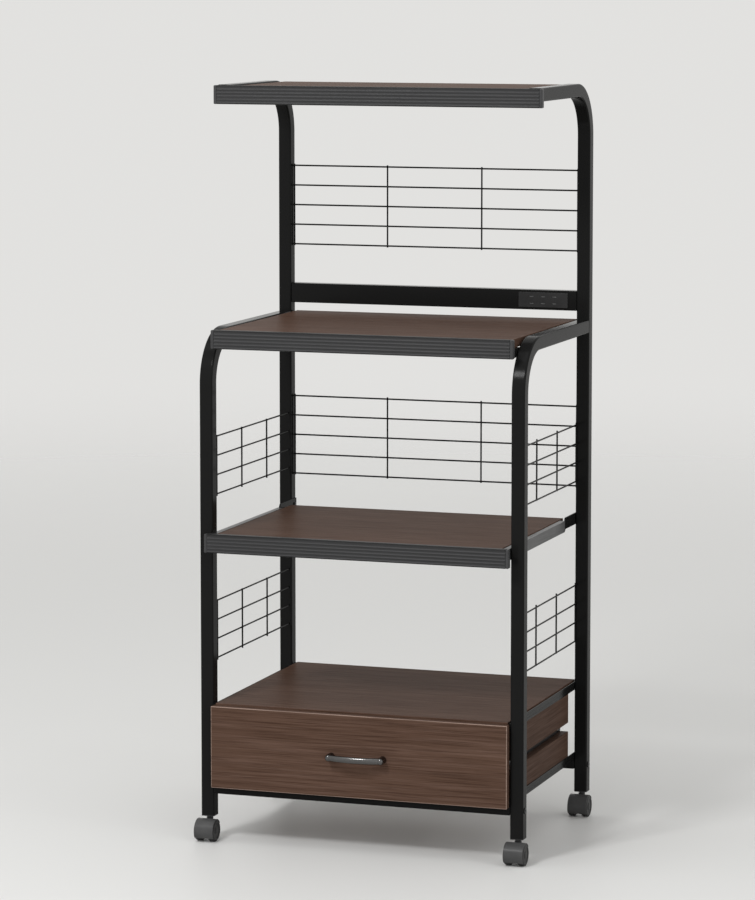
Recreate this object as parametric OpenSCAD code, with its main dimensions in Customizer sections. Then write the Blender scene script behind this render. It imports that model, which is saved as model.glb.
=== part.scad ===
// Kitchen cart: bent square-tube frame, two fixed shelves, a pull-out tray,
// a drawer cabinet, wire guards, an outlet bar and four twin-wheel swivel casters.
// Millimetres, +Z up, front towards -Y, origin at the bottom centre of the bounding box.

/* [Frame] */
// Width across the posts
frame_w = 600; // [540:10:680]
// Depth across the posts
frame_d = 430; // [430:10:500]
// Height of the top shelf's rails
frame_h = 1346; // [1330:2:1400]
// Height of the upper shelf's rails
shelf_h = 916; // [908:2:932]
// Side of the square tube
tube = 24; // [22:0.5:24]
// Wall of the tube
tube_wall = 1.5; // [1.2:0.1:2]
// Centre-line radius of the bends
bend_r = 84; // [80:1:88]
// Set-back of the top shelf's front edge
top_back = 85; // [75:1:90]

/* [Boards] */
// Thickness of the boards
board_t = 15; // [13:0.5:16]
// Height of the cabinet's top surface
cabinet_h = 250; // [248:1:260]
// Underside of the tray's board
tray_h = 541.5; // [530:0.5:550]

/* [Drawer] */
// Height of the drawer's front
drawer_h = 147; // [140:1:147]
// Spacing of the handle's screws
handle_pitch = 96; // [80:1:110]
// How far the handle stands out
handle_reach = 25.5; // [22:0.5:32]

/* [Slides] */
// Length of the fixed channels
slide_len = 350; // [340:1:352]
// Travel of the drawer and of the tray
slide_travel = 250; // [200:5:250]

/* [Guards] */
// Thickness of the wire
wire = 3; // [2.6:0.1:3.4]
// Spacing of the wires at the back
back_pitch = 36.5; // [32:0.5:38]
// Spacing of the wires at the sides
side_pitch = 34.5; // [32:0.5:36]

/* [Casters] */
// Radius of the wheels
wheel_r = 19; // [18:0.1:19]
// Distance from the stem to the axle
caster_lead = 14; // [12:0.5:16]

/* [Hidden] */
$fn = 48;

hw = frame_w / 2;
px = hw - tube / 2;
ix = hw - tube;
fy = tube / 2;
ry = frame_d - tube / 2;
riy = frame_d - tube;

front_gap = 0.5;
y_front = -(frame_d - front_gap - board_t - handle_reach) / 2;

foot_z = 45.5;
cap_z = 44;
rail_z = 86;
rail_h = 16;
bolt_z = rail_z + rail_h / 2;

angle_lo = rail_z + rail_h;
angle_hi = cabinet_h - board_t - 1.5;
angle_leg = 16;
screw_x = ix - 11;
panel_ys = [60, 330];
board_ys = [10, 390];

panel_x = ix - 1.5 - board_t;
box_x = panel_x - 12.7;
box_t = 12;
box_back = 350;
drawer_z = 100;
slide_z = 171;
slide_hd = 36;
slide_yd = 22;

upper_z = shelf_h - 15.5;
top_z = frame_h - 17.5;
lip = 1.5;
seat = 0.5;
fascia_d = 12;
fascia_drop = 17;
rim = 2;

tray_z = tray_h + 4.5;
tray_y = -30;
tray_x = ix - 12.7;
slide_ht = 20;
slide_yt = -12;

bar_z = 932;
bar_h = 36;
bar_y = riy + 2;
module_x = 212.5;

top_guard_z = 1113.5;
mid_guard_z = 683;
side_mid_z = 673.25;
side_low_z = 378.25;
side_x = ix + 4;

// Right-hand shape and its mirror image
module sides() {
    for (s = [0, 1])
        mirror([s, 0, 0])
            children();
}

// Box between two corners, depth measured from the front posts
module box(lo, hi) {
    translate([lo[0], lo[1] + y_front, lo[2]])
        cube([hi[0] - lo[0], hi[1] - lo[1], hi[2] - lo[2]]);
}

// Child set down at a point, depth measured from the front posts
module at(x, y, z) {
    translate([x, y + y_front, z])
        children();
}

// Pan-head screw: head below the XY plane, shank upwards
module screw(len, d = 4, head = 8, head_h = 2.2) {
    difference() {
        translate([0, 0, -head_h])
            cylinder(d = head, h = head_h);
        translate([0, 0, -head_h - 1])
            cylinder(d = d * 0.6, h = 1 + head_h * 0.55, $fn = 4);
    }
    cylinder(d = d, h = len);
}

// Bore for a screw's shank
module bore(len, d = 4) {
    translate([0, 0, -2])
        cylinder(d = d, h = len + 2);
}

// Square with rounded corners
module rounded_sq(s, r) {
    square([s, s - 2 * r], center = true);
    square([s - 2 * r, s], center = true);
    for (x = [-1, 1])
        for (y = [-1, 1])
            translate([x * (s / 2 - r), y * (s / 2 - r)])
                circle(r);
}

// Section of the frame's tube
module tube_profile() {
    difference() {
        rounded_sq(tube, 3);
        rounded_sq(tube - 2 * tube_wall, 3 - tube_wall + 0.2);
    }
}

// Post bent over into a rail that runs towards +Y
module bent_tube(post, rail) {
    linear_extrude(post)
        tube_profile();
    translate([0, bend_r, post])
        rotate([90, 0, -90])
            rotate_extrude(angle = 90)
                translate([bend_r, 0])
                    tube_profile();
    translate([0, bend_r, post + bend_r])
        rotate([-90, 0, 0])
            linear_extrude(rail)
                tube_profile();
}

// Places of the screws that hold the side angles to the posts
module at_post_screws() {
    sides()
        for (y = [fy, ry])
            for (z = [angle_lo + 8, angle_hi + 8])
                at(ix - 1.5, y, z)
                    rotate([0, 90, 0])
                        children();
}

// Places of the screws between the angles and the lower panels
module at_lower_panel_screws() {
    sides()
        for (y = panel_ys)
            at(screw_x, y, angle_lo)
                children();
}

// Places of the screws between the angles and the upper panels
module at_upper_panel_screws() {
    sides()
        for (y = panel_ys)
            at(screw_x, y, angle_hi + 1.5)
                rotate([180, 0, 0])
                    children();
}

// Places of the screws under the cabinet's top board
module at_top_screws() {
    sides()
        for (y = board_ys)
            at(screw_x, y, angle_hi)
                children();
}

// Centres of the tabs under the two fixed shelves
module at_brackets() {
    sides() {
        for (y = [130, 380])
            at(ix, y, upper_z)
                children();
        for (y = [140, 300])
            at(ix, y, top_z)
                children();
    }
}

// Places of the screws through those tabs
module at_bracket_screws() {
    at_brackets()
        translate([-16, 0, -1.5])
            children();
}

// Places of the screws under the two fixed fascias
module at_fascia_screws() {
    for (x = [-200, 0, 200]) {
        at(x, 7.5, upper_z - lip)
            children();
        at(x, top_back + 7.5, top_z - lip)
            children();
    }
}

// Places of the screws in the ends of the outlet bar
module at_outlet_screws() {
    sides()
        for (z = [bar_z + 9, bar_z + 27])
            at(ix - 1.5, ry, z)
                rotate([0, 90, 0])
                    children();
}

// Places of the screws in the drawer's channels
module at_channel_screws() {
    sides()
        for (y = panel_ys)
            for (z = [slide_z - 11, slide_z + 11])
                at(panel_x - 1.2, y, z)
                    rotate([0, 90, 0])
                        children();
}

// Places of the screws that hold the tray's channels to the front posts
module at_tray_channel_screws() {
    sides()
        at(ix - 1.2, fy, tray_z)
            rotate([0, 90, 0])
                children();
}

// Places of the screws that hold the tray's brackets to the rear posts
module at_tray_bracket_screws() {
    sides()
        at(ix - 2, ry, tray_z + 5)
            rotate([0, 90, 0])
                children();
}

// Places of the bolts through the posts into the bottom rails
module at_bolts() {
    sides()
        for (y = [fy, ry])
            at(hw, y, bolt_z)
                rotate([0, -90, 0])
                    children();
}

// Wires along the three axes
module wire_x(x0, x1, y, z) {
    at(x0, y, z)
        rotate([0, 90, 0])
            cylinder(d = wire, h = x1 - x0);
}

module wire_y(x, y0, y1, z) {
    at(x, y0, z)
        rotate([-90, 0, 0])
            cylinder(d = wire, h = y1 - y0);
}

module wire_z(x, y, z0, z1) {
    at(x, y, z0)
        cylinder(d = wire, h = z1 - z0);
}

// Wires of the back guards that end inside the posts
module back_wires(zc) {
    for (i = [-2, 2])
        wire_x(-ix - 7, ix + 7, ry, zc + i * back_pitch);
}

// Wires of the side guards that end inside the posts
module side_wires(zc) {
    for (i = [-1.5, 1.5])
        wire_y(side_x, tube - 8, riy + 8, zc + i * side_pitch);
}

// Holes that the posts share
module post_holes() {
    at_post_screws()
        bore(10);
    at_bolts()
        bore(tube + 2, 6.4);
    side_wires(side_mid_z);
    side_wires(side_low_z);
}

// Front posts, bent back into the upper shelf's side rails
module front_tube_right() {
    color("#17181a")
        difference() {
            at(px, fy, foot_z)
                bent_tube(shelf_h - tube / 2 - bend_r - foot_z, riy - fy - bend_r);
            post_holes();
            at_tray_channel_screws()
                bore(10);
        }
}

module front_tube_left() {
    mirror([1, 0, 0])
        front_tube_right();
}

// Rear posts, bent forward into the top shelf's side rails
module rear_tube_right() {
    color("#17181a")
        difference() {
            at(px, ry, foot_z)
                mirror([0, 1, 0])
                    bent_tube(frame_h - tube / 2 - bend_r - foot_z, ry - bend_r - top_back - fascia_d);
            post_holes();
            back_wires(top_guard_z);
            back_wires(mid_guard_z);
            at_outlet_screws()
                bore(10);
            at_tray_bracket_screws()
                bore(10);
        }
}

module rear_tube_left() {
    mirror([1, 0, 0])
        rear_tube_right();
}

// Rectangular tube between two posts, with solid ends for the bolts
module bottom_rail(y) {
    color("#17181a")
        difference() {
            box([-ix, y, rail_z], [ix, y + tube, rail_z + rail_h]);
            box([-ix + 16, y + 1.5, rail_z + 1.5], [ix - 16, y + tube - 1.5, rail_z + rail_h - 1.5]);
            sides()
                at(ix - 30, y + tube / 2, bolt_z)
                    rotate([0, 90, 0])
                        cylinder(d = 6, h = 40);
            sides()
                at(200, y + tube / 2, rail_z - 1)
                    cylinder(d = 5, h = 4);
        }
}

module front_bottom_rail() {
    bottom_rail(0);
}

module rear_bottom_rail() {
    bottom_rail(riy);
}

// Steel angle at the side of the cabinet
module side_angle(z) {
    box([ix - angle_leg, 2, z], [ix, frame_d - 2, z + 1.5]);
    box([ix - 1.5, 2, z], [ix, frame_d - 2, z + 15]);
}

module side_angles() {
    color("#1b1c1e")
        sides()
            difference() {
                union() {
                    side_angle(angle_lo);
                    side_angle(angle_hi);
                }
                at_post_screws()
                    bore(10);
                at_lower_panel_screws()
                    bore(10);
                at_upper_panel_screws()
                    bore(10);
                at_top_screws()
                    bore(10);
            }
}

// Tabs on the rails that carry the two fixed boards, and angles behind the upper fascia
module shelf_brackets() {
    color("#1b1c1e")
        difference() {
            at_brackets() {
                translate([-28, -20, -1.5])
                    cube([28, 40, 1.5]);
                translate([-1.5, -20, -1.5])
                    cube([1.5, 40, 12]);
            }
            at_bracket_screws()
                bore(10);
        }
    color("#1b1c1e")
        sides() {
            box([ix - 28, fascia_d + 0.5, upper_z - 1.5], [ix, 50, upper_z]);
            box([ix - 1.5, fascia_d + 0.5, upper_z - 16], [ix, 50, upper_z]);
        }
}

// Rebate along a board's front edge for the fascia's lip
module lip_seat(y, z) {
    box([-ix, y - 1, z + board_t - seat], [ix, y + fascia_d - 3, z + board_t + 1]);
}

// Fixed boards
module shelf_board(y, rear, z) {
    color("#4a352b")
        difference() {
            box([-ix + 4.5, y, z], [ix - 4.5, rear, z + board_t]);
            lip_seat(y, z);
            at_bracket_screws()
                bore(11);
            at_fascia_screws()
                bore(11);
        }
}

module top_board() {
    shelf_board(top_back + 3, ry - bend_r + 31, top_z);
}

module upper_board() {
    shelf_board(3, frame_d - 2, upper_z);
}

module cabinet_top_board() {
    color("#4a352b")
        difference() {
            box([-ix + 4.5, 0.5, angle_hi + 1.5], [ix - 4.5, frame_d - 5, cabinet_h]);
            at_top_screws()
                bore(11);
            sides()
                for (y = panel_ys)
                    at(screw_x, y, angle_hi)
                        cylinder(d = 9, h = 4.2);
        }
}

// Outline of the edge profile; x runs back, y up from the board's underside
module fascia_outline() {
    h = fascia_drop + board_t + lip;
    translate([0, -fascia_drop]) {
        translate([rim, 0])
            square([fascia_d - rim, h]);
        translate([0, rim])
            square([fascia_d, h - 2 * rim]);
        for (y = [rim, h - rim])
            translate([rim, y])
                circle(rim);
    }
}

// Section of the profile, with flutes in front and a seat for the board
module fascia_profile() {
    difference() {
        fascia_outline();
        translate([3, 0])
            square([fascia_d, board_t - seat]);
        translate([3, lip - fascia_drop])
            square([fascia_d, fascia_drop - 2 * lip]);
        translate([8, -fascia_drop - 1])
            square([fascia_d, fascia_drop + 1 - lip]);
        for (i = [0 : 4])
            translate([-3.1, 4.75 - fascia_drop + 6 * i])
                circle(4);
    }
}

// Edge profile along X around its middle
module fascia(half, y, z) {
    at(-half, y, z)
        rotate([90, 0, 90])
            linear_extrude(2 * half)
                fascia_profile();
}

// End cap of an edge profile, with a tongue into its hollow
module fascia_cap(half, y, z) {
    at(half, y, z)
        rotate([90, 0, 90])
            linear_extrude(6)
                fascia_outline();
    box([half - 10, y + 3.2, z - fascia_drop + 1.8], [half, y + 7.8, z - 1.8]);
}

module top_fascia() {
    color("#3a3b3e")
        difference() {
            fascia(hw - 2, top_back, top_z);
            at_fascia_screws()
                bore(10);
        }
}

module upper_fascia() {
    color("#3a3b3e")
        difference() {
            fascia(ix - 3.5, 0, upper_z);
            at_fascia_screws()
                bore(10);
        }
}

module fascia_end_caps() {
    color("#45464a")
        sides() {
            fascia_cap(hw - 2, top_back, top_z);
            fascia_cap(ix - 3.5, 0, upper_z);
        }
}

// Wire guards at the back
module back_guard(zc) {
    top = zc + 2 * back_pitch + wire;
    low = zc - 2 * back_pitch - wire;
    color("#17181a") {
        back_wires(zc);
        for (i = [-1 : 1])
            wire_x(-ix + 0.6, ix - 0.6, ry, zc + i * back_pitch);
        for (x = [-ix + 2.5, -91, 91, ix - 2.5])
            wire_z(x, ry + wire * 0.8, low, top);
    }
}

module top_back_guard() {
    back_guard(top_guard_z);
}

module middle_back_guard() {
    back_guard(mid_guard_z);
}

// Wire guards at the sides
module side_guard(zc) {
    top = zc + 1.5 * side_pitch + wire;
    low = zc - 1.5 * side_pitch - wire;
    color("#17181a")
        sides() {
            side_wires(zc);
            for (i = [-0.5, 0.5])
                wire_y(side_x, tube + 0.6, riy - 0.6, zc + i * side_pitch);
            for (y = [tube + 2.5, 151, 279, riy - 2.5])
                wire_z(side_x - wire * 0.8, y, low, top);
        }
}

module middle_side_guards() {
    side_guard(side_mid_z);
}

module lower_side_guards() {
    side_guard(side_low_z);
}

// Side panels of the cabinet, above and below the slot
module side_panels(z0, z1) {
    color("#4a352b")
        sides()
            difference() {
                box([panel_x, 18, z0], [ix - 1.5, 372, z1]);
                at_lower_panel_screws()
                    bore(14);
                at_upper_panel_screws()
                    bore(14);
                at_channel_screws()
                    bore(11);
            }
}

module upper_side_panels() {
    side_panels(slide_z + 8, angle_hi);
}

module lower_side_panels() {
    side_panels(angle_lo + 1.5, slide_z - 8);
}

// Channel behind the upper shelf, open to the back
module outlet_bar() {
    color("#17181a")
        difference() {
            box([-ix, bar_y, bar_z], [ix, frame_d - 2, bar_z + bar_h]);
            box([-ix + 1.5, bar_y + 1.5, bar_z + 1.5], [ix - 1.5, frame_d, bar_z + bar_h - 1.5]);
            box([module_x - 44.3, bar_y - 1, bar_z + 6.7], [module_x + 44.3, bar_y + 3, bar_z + 29.3]);
            at_outlet_screws()
                bore(10);
        }
}

// Three-socket outlet set into that channel
module outlet_module() {
    color("#26272a")
        difference() {
            union() {
                box([module_x - 46.5, bar_y - 1.5, bar_z + 4.25], [module_x + 46.5, bar_y, bar_z + 31.75]);
                box([module_x - 44.2, bar_y, bar_z + 6.8], [module_x + 44.2, bar_y + 16, bar_z + 29.2]);
            }
            for (x = [-22, -0.5, 21])
                for (z = [-6.2, 6.2])
                    box([module_x + x - 4, bar_y - 2, bar_z + 18 + z - 1],
                        [module_x + x + 4, bar_y + 9, bar_z + 18 + z + 1]);
        }
}

// Fixed member of a slide: a channel on the face x, open towards the middle
module slide_channel(x, y, z, h) {
    difference() {
        box([x - 10.5, y, z - h / 2], [x, y + slide_len, z + h / 2]);
        box([x - 11, y - 1, z - h / 2 + 1.2], [x - 1.2, y + slide_len + 1, z + h / 2 - 1.2]);
    }
}

// Moving member of a slide
module slide_runner(x, y0, y1, z, h) {
    f = h / 2 - 4.3;
    difference() {
        box([x - 12.7, y0, z - f], [x - 4.2, y1, z + f]);
        box([x - 11.5, y0 - 1, z - f + 1.2], [x - 4, y1 + 1, z + f - 1.2]);
    }
}

// Ball cage between the two members
module ball_cage(x, y, z, h) {
    c = h / 2 - 2.75;
    len = 72;
    box([x - 3.8, y, z - c - 0.4], [x - 3.2, y + len, z + c + 0.4]);
    for (s = [-1, 1]) {
        box([x - 9.5, y, z + s * c - 0.4], [x - 3.2, y + len, z + s * c + 0.4]);
        for (i = [0 : 6])
            at(x - 7, y + 6 + 10 * i, z + s * c)
                sphere(r = 1.5);
    }
}

module drawer_slide_channels() {
    color("#8f9296")
        difference() {
            sides()
                slide_channel(panel_x, slide_yd, slide_z, slide_hd);
            at_channel_screws()
                bore(10);
        }
}

module tray_slide_channels() {
    color("#8f9296")
        difference() {
            sides()
                slide_channel(ix, slide_yt, tray_z, slide_ht);
            at_tray_channel_screws()
                bore(10);
        }
}

// Brackets from the tray's channels to the rear posts
module tray_slide_brackets() {
    end = slide_yt + slide_len;
    color("#1b1c1e")
        difference() {
            sides() {
                box([ix - 2.8, end - 38, tray_z - 7], [ix - 1.2, end + 8, tray_z + 7]);
                box([ix - 12, end + 0.6, tray_z - 8], [ix, end + 2.6, tray_z + 10]);
                box([ix - 2, end + 0.3, tray_z - 5], [ix, frame_d - 2, tray_z + 8]);
                box([ix - 2, end + 8.3, tray_z - 5], [ix, frame_d - 2, tray_z + 16]);
                at(ix - 2, end + 8.3, tray_z + 8)
                    rotate([0, 90, 0])
                        cylinder(r = 8, h = 2);
            }
            at_tray_bracket_screws()
                bore(10);
        }
}

// Plugs in the feet of the posts
module caster_sockets() {
    s = tube - 2 * tube_wall - 0.2;
    color("#202124")
        sides()
            for (y = [fy, ry])
                at(px, y, cap_z)
                    difference() {
                        union() {
                            linear_extrude(foot_z - cap_z)
                                rounded_sq(tube, 3);
                            linear_extrude(36)
                                rounded_sq(s, 1.6);
                        }
                        translate([0, 0, -1])
                            cylinder(d = 8.1, h = 40);
                    }
}

// Bolts through the posts into the bottom rails
module frame_bolts() {
    color("#2a2b2e")
        at_bolts()
            difference() {
                union() {
                    cylinder(d = 6, h = tube + 16);
                    translate([0, 0, -1.4])
                        cylinder(d = 11, h = 1.4);
                }
                translate([0, 0, -2.4])
                    cylinder(d = 4.6, h = 3.6, $fn = 6);
            }
}

// Screws of the frame, the shelves, the cabinet and the fixed slide members
module frame_screws() {
    color("#3c3d40") {
        at_post_screws()
            screw(10, 4, 7, 2);
        at_lower_panel_screws()
            screw(14);
        at_upper_panel_screws()
            screw(14);
        at_top_screws()
            screw(11);
        at_bracket_screws()
            screw(11);
        at_fascia_screws()
            screw(10, 4, 7, 2);
        at_outlet_screws()
            screw(10, 4, 7, 2);
        at_channel_screws()
            screw(11, 4, 7, 1.4);
        at_tray_channel_screws()
            screw(10, 4, 7, 1.4);
        at_tray_bracket_screws()
            screw(10, 4, 7, 2);
    }
}

// Places of the screws between the drawer's box and its front
module at_front_screws() {
    for (x = [-170, 170])
        for (z = [150, 192])
            at(x, box_t - front_gap, z)
                rotate([90, 0, 0])
                    children();
}

// Places of the handle's screws
module at_handle_screws() {
    for (x = [-handle_pitch / 2, handle_pitch / 2])
        at(x, box_t - front_gap, slide_z + 1)
            rotate([90, 0, 0])
                children();
}

// Places of the screws through the drawer's sides
module at_corner_screws() {
    sides()
        for (y = [5.5, box_back - 6])
            for (z = [138, 205])
                at(box_x, y, z)
                    rotate([0, -90, 0])
                        children();
}

// Places of the screws in the drawer's runners
module at_runner_screws() {
    sides()
        for (y = [50, 300])
            at(box_x + 1.2, y, slide_z)
                rotate([0, -90, 0])
                    children();
}

module drawer_front() {
    color("#54413a")
        difference() {
            box([-ix + 1, -front_gap - board_t, drawer_z], [ix - 1, -front_gap, drawer_z + drawer_h]);
            at_front_screws()
                bore(22);
            at_handle_screws()
                bore(40, 4.4);
        }
}

module drawer_box_front() {
    color("#5d4a40")
        difference() {
            box([-box_x + box_t, -front_gap, 116], [box_x - box_t, box_t - front_gap, 216]);
            box([-box_x, box_t - front_gap - 5, 122], [box_x, box_t, 126]);
            at_front_screws()
                bore(22);
            at_handle_screws()
                bore(40, 4.4);
            at_corner_screws()
                bore(30);
        }
}

module drawer_side_right() {
    color("#5d4a40")
        difference() {
            box([box_x - box_t, -front_gap, 116], [box_x, box_back, 216]);
            box([box_x - box_t - 1, box_t - front_gap - 5, 122], [box_x - box_t + 5, box_back + 1, 126]);
            at_corner_screws()
                bore(30);
            at_runner_screws()
                bore(10);
        }
}

module drawer_side_left() {
    mirror([1, 0, 0])
        drawer_side_right();
}

module drawer_back() {
    color("#5d4a40")
        difference() {
            box([-box_x + box_t, box_back - box_t, 126], [box_x - box_t, box_back, 216]);
            at_corner_screws()
                bore(30);
        }
}

module drawer_bottom() {
    color("#6b584c")
        box([-box_x + box_t - 5, box_t - front_gap - 5, 122], [box_x - box_t + 5, box_back, 126]);
}

// Bow handle: a rounded bar on two flared feet
module drawer_handle() {
    mid = handle_reach - 4;
    foot = mid - 8;
    half = handle_pitch / 2;
    r = (half * half + 64) / 16;
    a = asin(half / r);
    color("#1f2023")
        difference() {
            at(0, -front_gap - board_t, slide_z + 1) {
                translate([0, r - mid, 0])
                    rotate([0, 0, 270 - a])
                        rotate_extrude(angle = 2 * a)
                            translate([r, 0]) {
                                square([8, 3.4], center = true);
                                for (s = [-1.7, 1.7])
                                    translate([0, s])
                                        circle(4);
                            }
                for (x = [-half, half])
                    translate([x, 0, 0])
                        rotate([90, 0, 0]) {
                            cylinder(d1 = 14, d2 = 11, h = foot);
                            translate([0, 0, foot])
                                sphere(d = 13);
                        }
            }
            at_handle_screws()
                bore(36);
        }
}

module drawer_runners() {
    color("#8f9296")
        difference() {
            sides()
                slide_runner(panel_x, 13, box_back, slide_z, slide_hd);
            at_runner_screws()
                bore(10);
        }
}

module drawer_screws() {
    color("#3c3d40") {
        at_front_screws()
            screw(22);
        at_handle_screws()
            screw(36);
        at_corner_screws()
            screw(30);
        at_runner_screws()
            screw(10, 4, 7, 1.4);
    }
}

module drawer_ball_cages() {
    color("#b9bcc0")
        sides()
            ball_cage(panel_x, slide_yd + 1 + slide_travel / 2, slide_z, slide_hd);
}

// Places of the screws in the tray's runners
module at_tray_runner_screws() {
    sides()
        for (y = [20, 300])
            at(tray_x + 1.2, y, tray_z)
                rotate([0, -90, 0])
                    children();
}

// Places of the screws under the tray's fascia
module at_tray_fascia_screws() {
    for (x = [-200, 0, 200])
        at(x, tray_y + 7.5, tray_h - lip)
            children();
}

module tray_board() {
    color("#4a352b")
        difference() {
            box([-tray_x, tray_y + 3, tray_h], [tray_x, 370, tray_h + board_t]);
            lip_seat(tray_y + 3, tray_h);
            at_tray_runner_screws()
                bore(10);
            at_tray_fascia_screws()
                bore(10);
        }
}

module tray_fascia() {
    color("#3a3b3e")
        difference() {
            fascia(ix - 1, tray_y, tray_h);
            at_tray_fascia_screws()
                bore(10);
        }
}

module tray_end_caps() {
    color("#45464a")
        sides()
            fascia_cap(ix - 1, tray_y, tray_h);
}

module tray_runners() {
    color("#8f9296")
        difference() {
            sides()
                slide_runner(ix, -16.5, 334, tray_z, slide_ht);
            at_tray_runner_screws()
                bore(10);
        }
}

module tray_screws() {
    color("#3c3d40") {
        at_tray_runner_screws()
            screw(10, 4, 7, 1.4);
        at_tray_fascia_screws()
            screw(10, 4, 7, 2);
    }
}

module tray_ball_cages() {
    color("#b9bcc0")
        sides()
            ball_cage(ix, slide_yt + 1 + slide_travel / 2, tray_z, slide_ht);
}

// Cylinder along X at the axle
module axle_cylinder(r, x0, x1) {
    translate([x0, -caster_lead, wheel_r])
        rotate([0, 90, 0])
            cylinder(r = r, h = x1 - x0);
}

// Stem with its collar
module caster_stem() {
    color("#9a9da1") {
        translate([0, 0, 26])
            cylinder(d = 8, h = 51);
        translate([0, 0, 38.5])
            cylinder(d = 10.6, h = 3);
    }
}

// Hood over both wheels, web between them and boss for the stem
module caster_housing() {
    color("#2b2c30")
        difference() {
            union() {
                intersection() {
                    axle_cylinder(wheel_r + 2, -18, 18);
                    translate([0, -caster_lead, wheel_r])
                        rotate([34, 0, 0])
                            translate([-20, -50, 2])
                                cube([40, 100, 40]);
                }
                axle_cylinder(9, -6.2, 6.2);
                translate([0, 0, wheel_r + 2])
                    cylinder(d = 14, h = 38.5 - wheel_r - 2);
            }
            sides()
                axle_cylinder(wheel_r + 0.7, 6.2, 30);
            axle_cylinder(3.07, -10, 10);
            translate([0, 0, 26])
                cylinder(d = 8, h = 30);
        }
}

// Pair of wheels with a recessed hub and eased tread edges
module caster_wheels() {
    color("#34353a")
        sides()
            translate([6.6, -caster_lead, wheel_r])
                rotate([0, 90, 0])
                    rotate_extrude()
                        polygon([
                            [3, 0], [wheel_r - 1.2, 0], [wheel_r, 1.2], [wheel_r, 9.9],
                            [wheel_r - 2, 11.9], [wheel_r - 5, 11.9], [wheel_r - 5.6, 10.7],
                            [7, 10.7], [6, 11.7], [0, 11.7], [0, 9.9], [3, 9.9]
                        ]);
}

module caster_axle() {
    color("#9a9da1")
        axle_cylinder(3, -16.5, 16.5);
}

module caster_stem_fl() {
    at(-px, fy, 0)
        caster_stem();
}

module caster_housing_fl() {
    at(-px, fy, 0)
        caster_housing();
}

module caster_wheels_fl() {
    at(-px, fy, 0)
        caster_wheels();
}

module caster_axle_fl() {
    at(-px, fy, 0)
        caster_axle();
}

module caster_stem_fr() {
    at(px, fy, 0)
        caster_stem();
}

module caster_housing_fr() {
    at(px, fy, 0)
        caster_housing();
}

module caster_wheels_fr() {
    at(px, fy, 0)
        caster_wheels();
}

module caster_axle_fr() {
    at(px, fy, 0)
        caster_axle();
}

module caster_stem_rl() {
    at(-px, ry, 0)
        caster_stem();
}

module caster_housing_rl() {
    at(-px, ry, 0)
        caster_housing();
}

module caster_wheels_rl() {
    at(-px, ry, 0)
        caster_wheels();
}

module caster_axle_rl() {
    at(-px, ry, 0)
        caster_axle();
}

module caster_stem_rr() {
    at(px, ry, 0)
        caster_stem();
}

module caster_housing_rr() {
    at(px, ry, 0)
        caster_housing();
}

module caster_wheels_rr() {
    at(px, ry, 0)
        caster_wheels();
}

module caster_axle_rr() {
    at(px, ry, 0)
        caster_axle();
}

front_tube_left();
front_tube_right();
rear_tube_left();
rear_tube_right();
front_bottom_rail();
rear_bottom_rail();
side_angles();
shelf_brackets();
top_board();
upper_board();
cabinet_top_board();
top_fascia();
upper_fascia();
fascia_end_caps();
top_back_guard();
middle_back_guard();
middle_side_guards();
lower_side_guards();
upper_side_panels();
lower_side_panels();
outlet_bar();
outlet_module();
drawer_slide_channels();
tray_slide_channels();
tray_slide_brackets();
caster_sockets();
frame_bolts();
frame_screws();
drawer_front();
drawer_box_front();
drawer_side_left();
drawer_side_right();
drawer_back();
drawer_bottom();
drawer_handle();
drawer_runners();
drawer_screws();
drawer_ball_cages();
tray_board();
tray_fascia();
tray_end_caps();
tray_runners();
tray_screws();
tray_ball_cages();
caster_stem_fl();
caster_housing_fl();
caster_wheels_fl();
caster_axle_fl();
caster_stem_fr();
caster_housing_fr();
caster_wheels_fr();
caster_axle_fr();
caster_stem_rl();
caster_housing_rl();
caster_wheels_rl();
caster_axle_rl();
caster_stem_rr();
caster_housing_rr();
caster_wheels_rr();
caster_axle_rr();
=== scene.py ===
"""Kitchen cart: finished pieces, materials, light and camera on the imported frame."""
import math

import bmesh
import bpy
from bpy.props import FloatProperty, FloatVectorProperty, IntProperty, PointerProperty
from mathutils import Matrix, Vector


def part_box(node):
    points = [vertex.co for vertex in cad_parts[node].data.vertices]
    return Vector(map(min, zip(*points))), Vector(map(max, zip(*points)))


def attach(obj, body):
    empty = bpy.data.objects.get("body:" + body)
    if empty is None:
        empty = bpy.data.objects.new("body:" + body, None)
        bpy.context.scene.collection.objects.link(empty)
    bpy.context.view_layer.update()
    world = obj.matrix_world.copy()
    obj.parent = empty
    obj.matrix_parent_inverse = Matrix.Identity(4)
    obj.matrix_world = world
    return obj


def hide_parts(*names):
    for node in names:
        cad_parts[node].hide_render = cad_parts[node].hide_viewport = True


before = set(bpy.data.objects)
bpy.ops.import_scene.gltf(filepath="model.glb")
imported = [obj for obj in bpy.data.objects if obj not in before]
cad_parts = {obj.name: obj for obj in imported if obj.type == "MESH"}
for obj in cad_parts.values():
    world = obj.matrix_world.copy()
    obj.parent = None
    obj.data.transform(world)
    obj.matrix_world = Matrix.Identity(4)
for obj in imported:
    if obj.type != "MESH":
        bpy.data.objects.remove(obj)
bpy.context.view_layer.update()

bl_info = {
    "name": "Kitchen cart",
    "version": (1, 0, 0),
    "blender": (4, 5, 0),
    "location": "3D View > Sidebar > Cart",
    "description": "Dresses the cart's frame with finished pieces, materials, light and a camera",
    "category": "Object",
}

MM = 0.001
SHARP = math.radians(35)
CASTERS = ("fl", "fr", "rl", "rr")

BOARD = 15 * MM
SMALL_EDGE = 0.3 * MM
SHEET_EDGE = 0.6 * MM

# Edge profiles: front wall, foot under the board, height of one row of points, clearance and length of a cap
PROFILE_WALL = 3 * MM
PROFILE_FOOT = 8 * MM
PROFILE_ROW = 0.25 * MM
CAP_GAP = 0.15 * MM
CAP_LENGTH = 6 * MM

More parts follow.
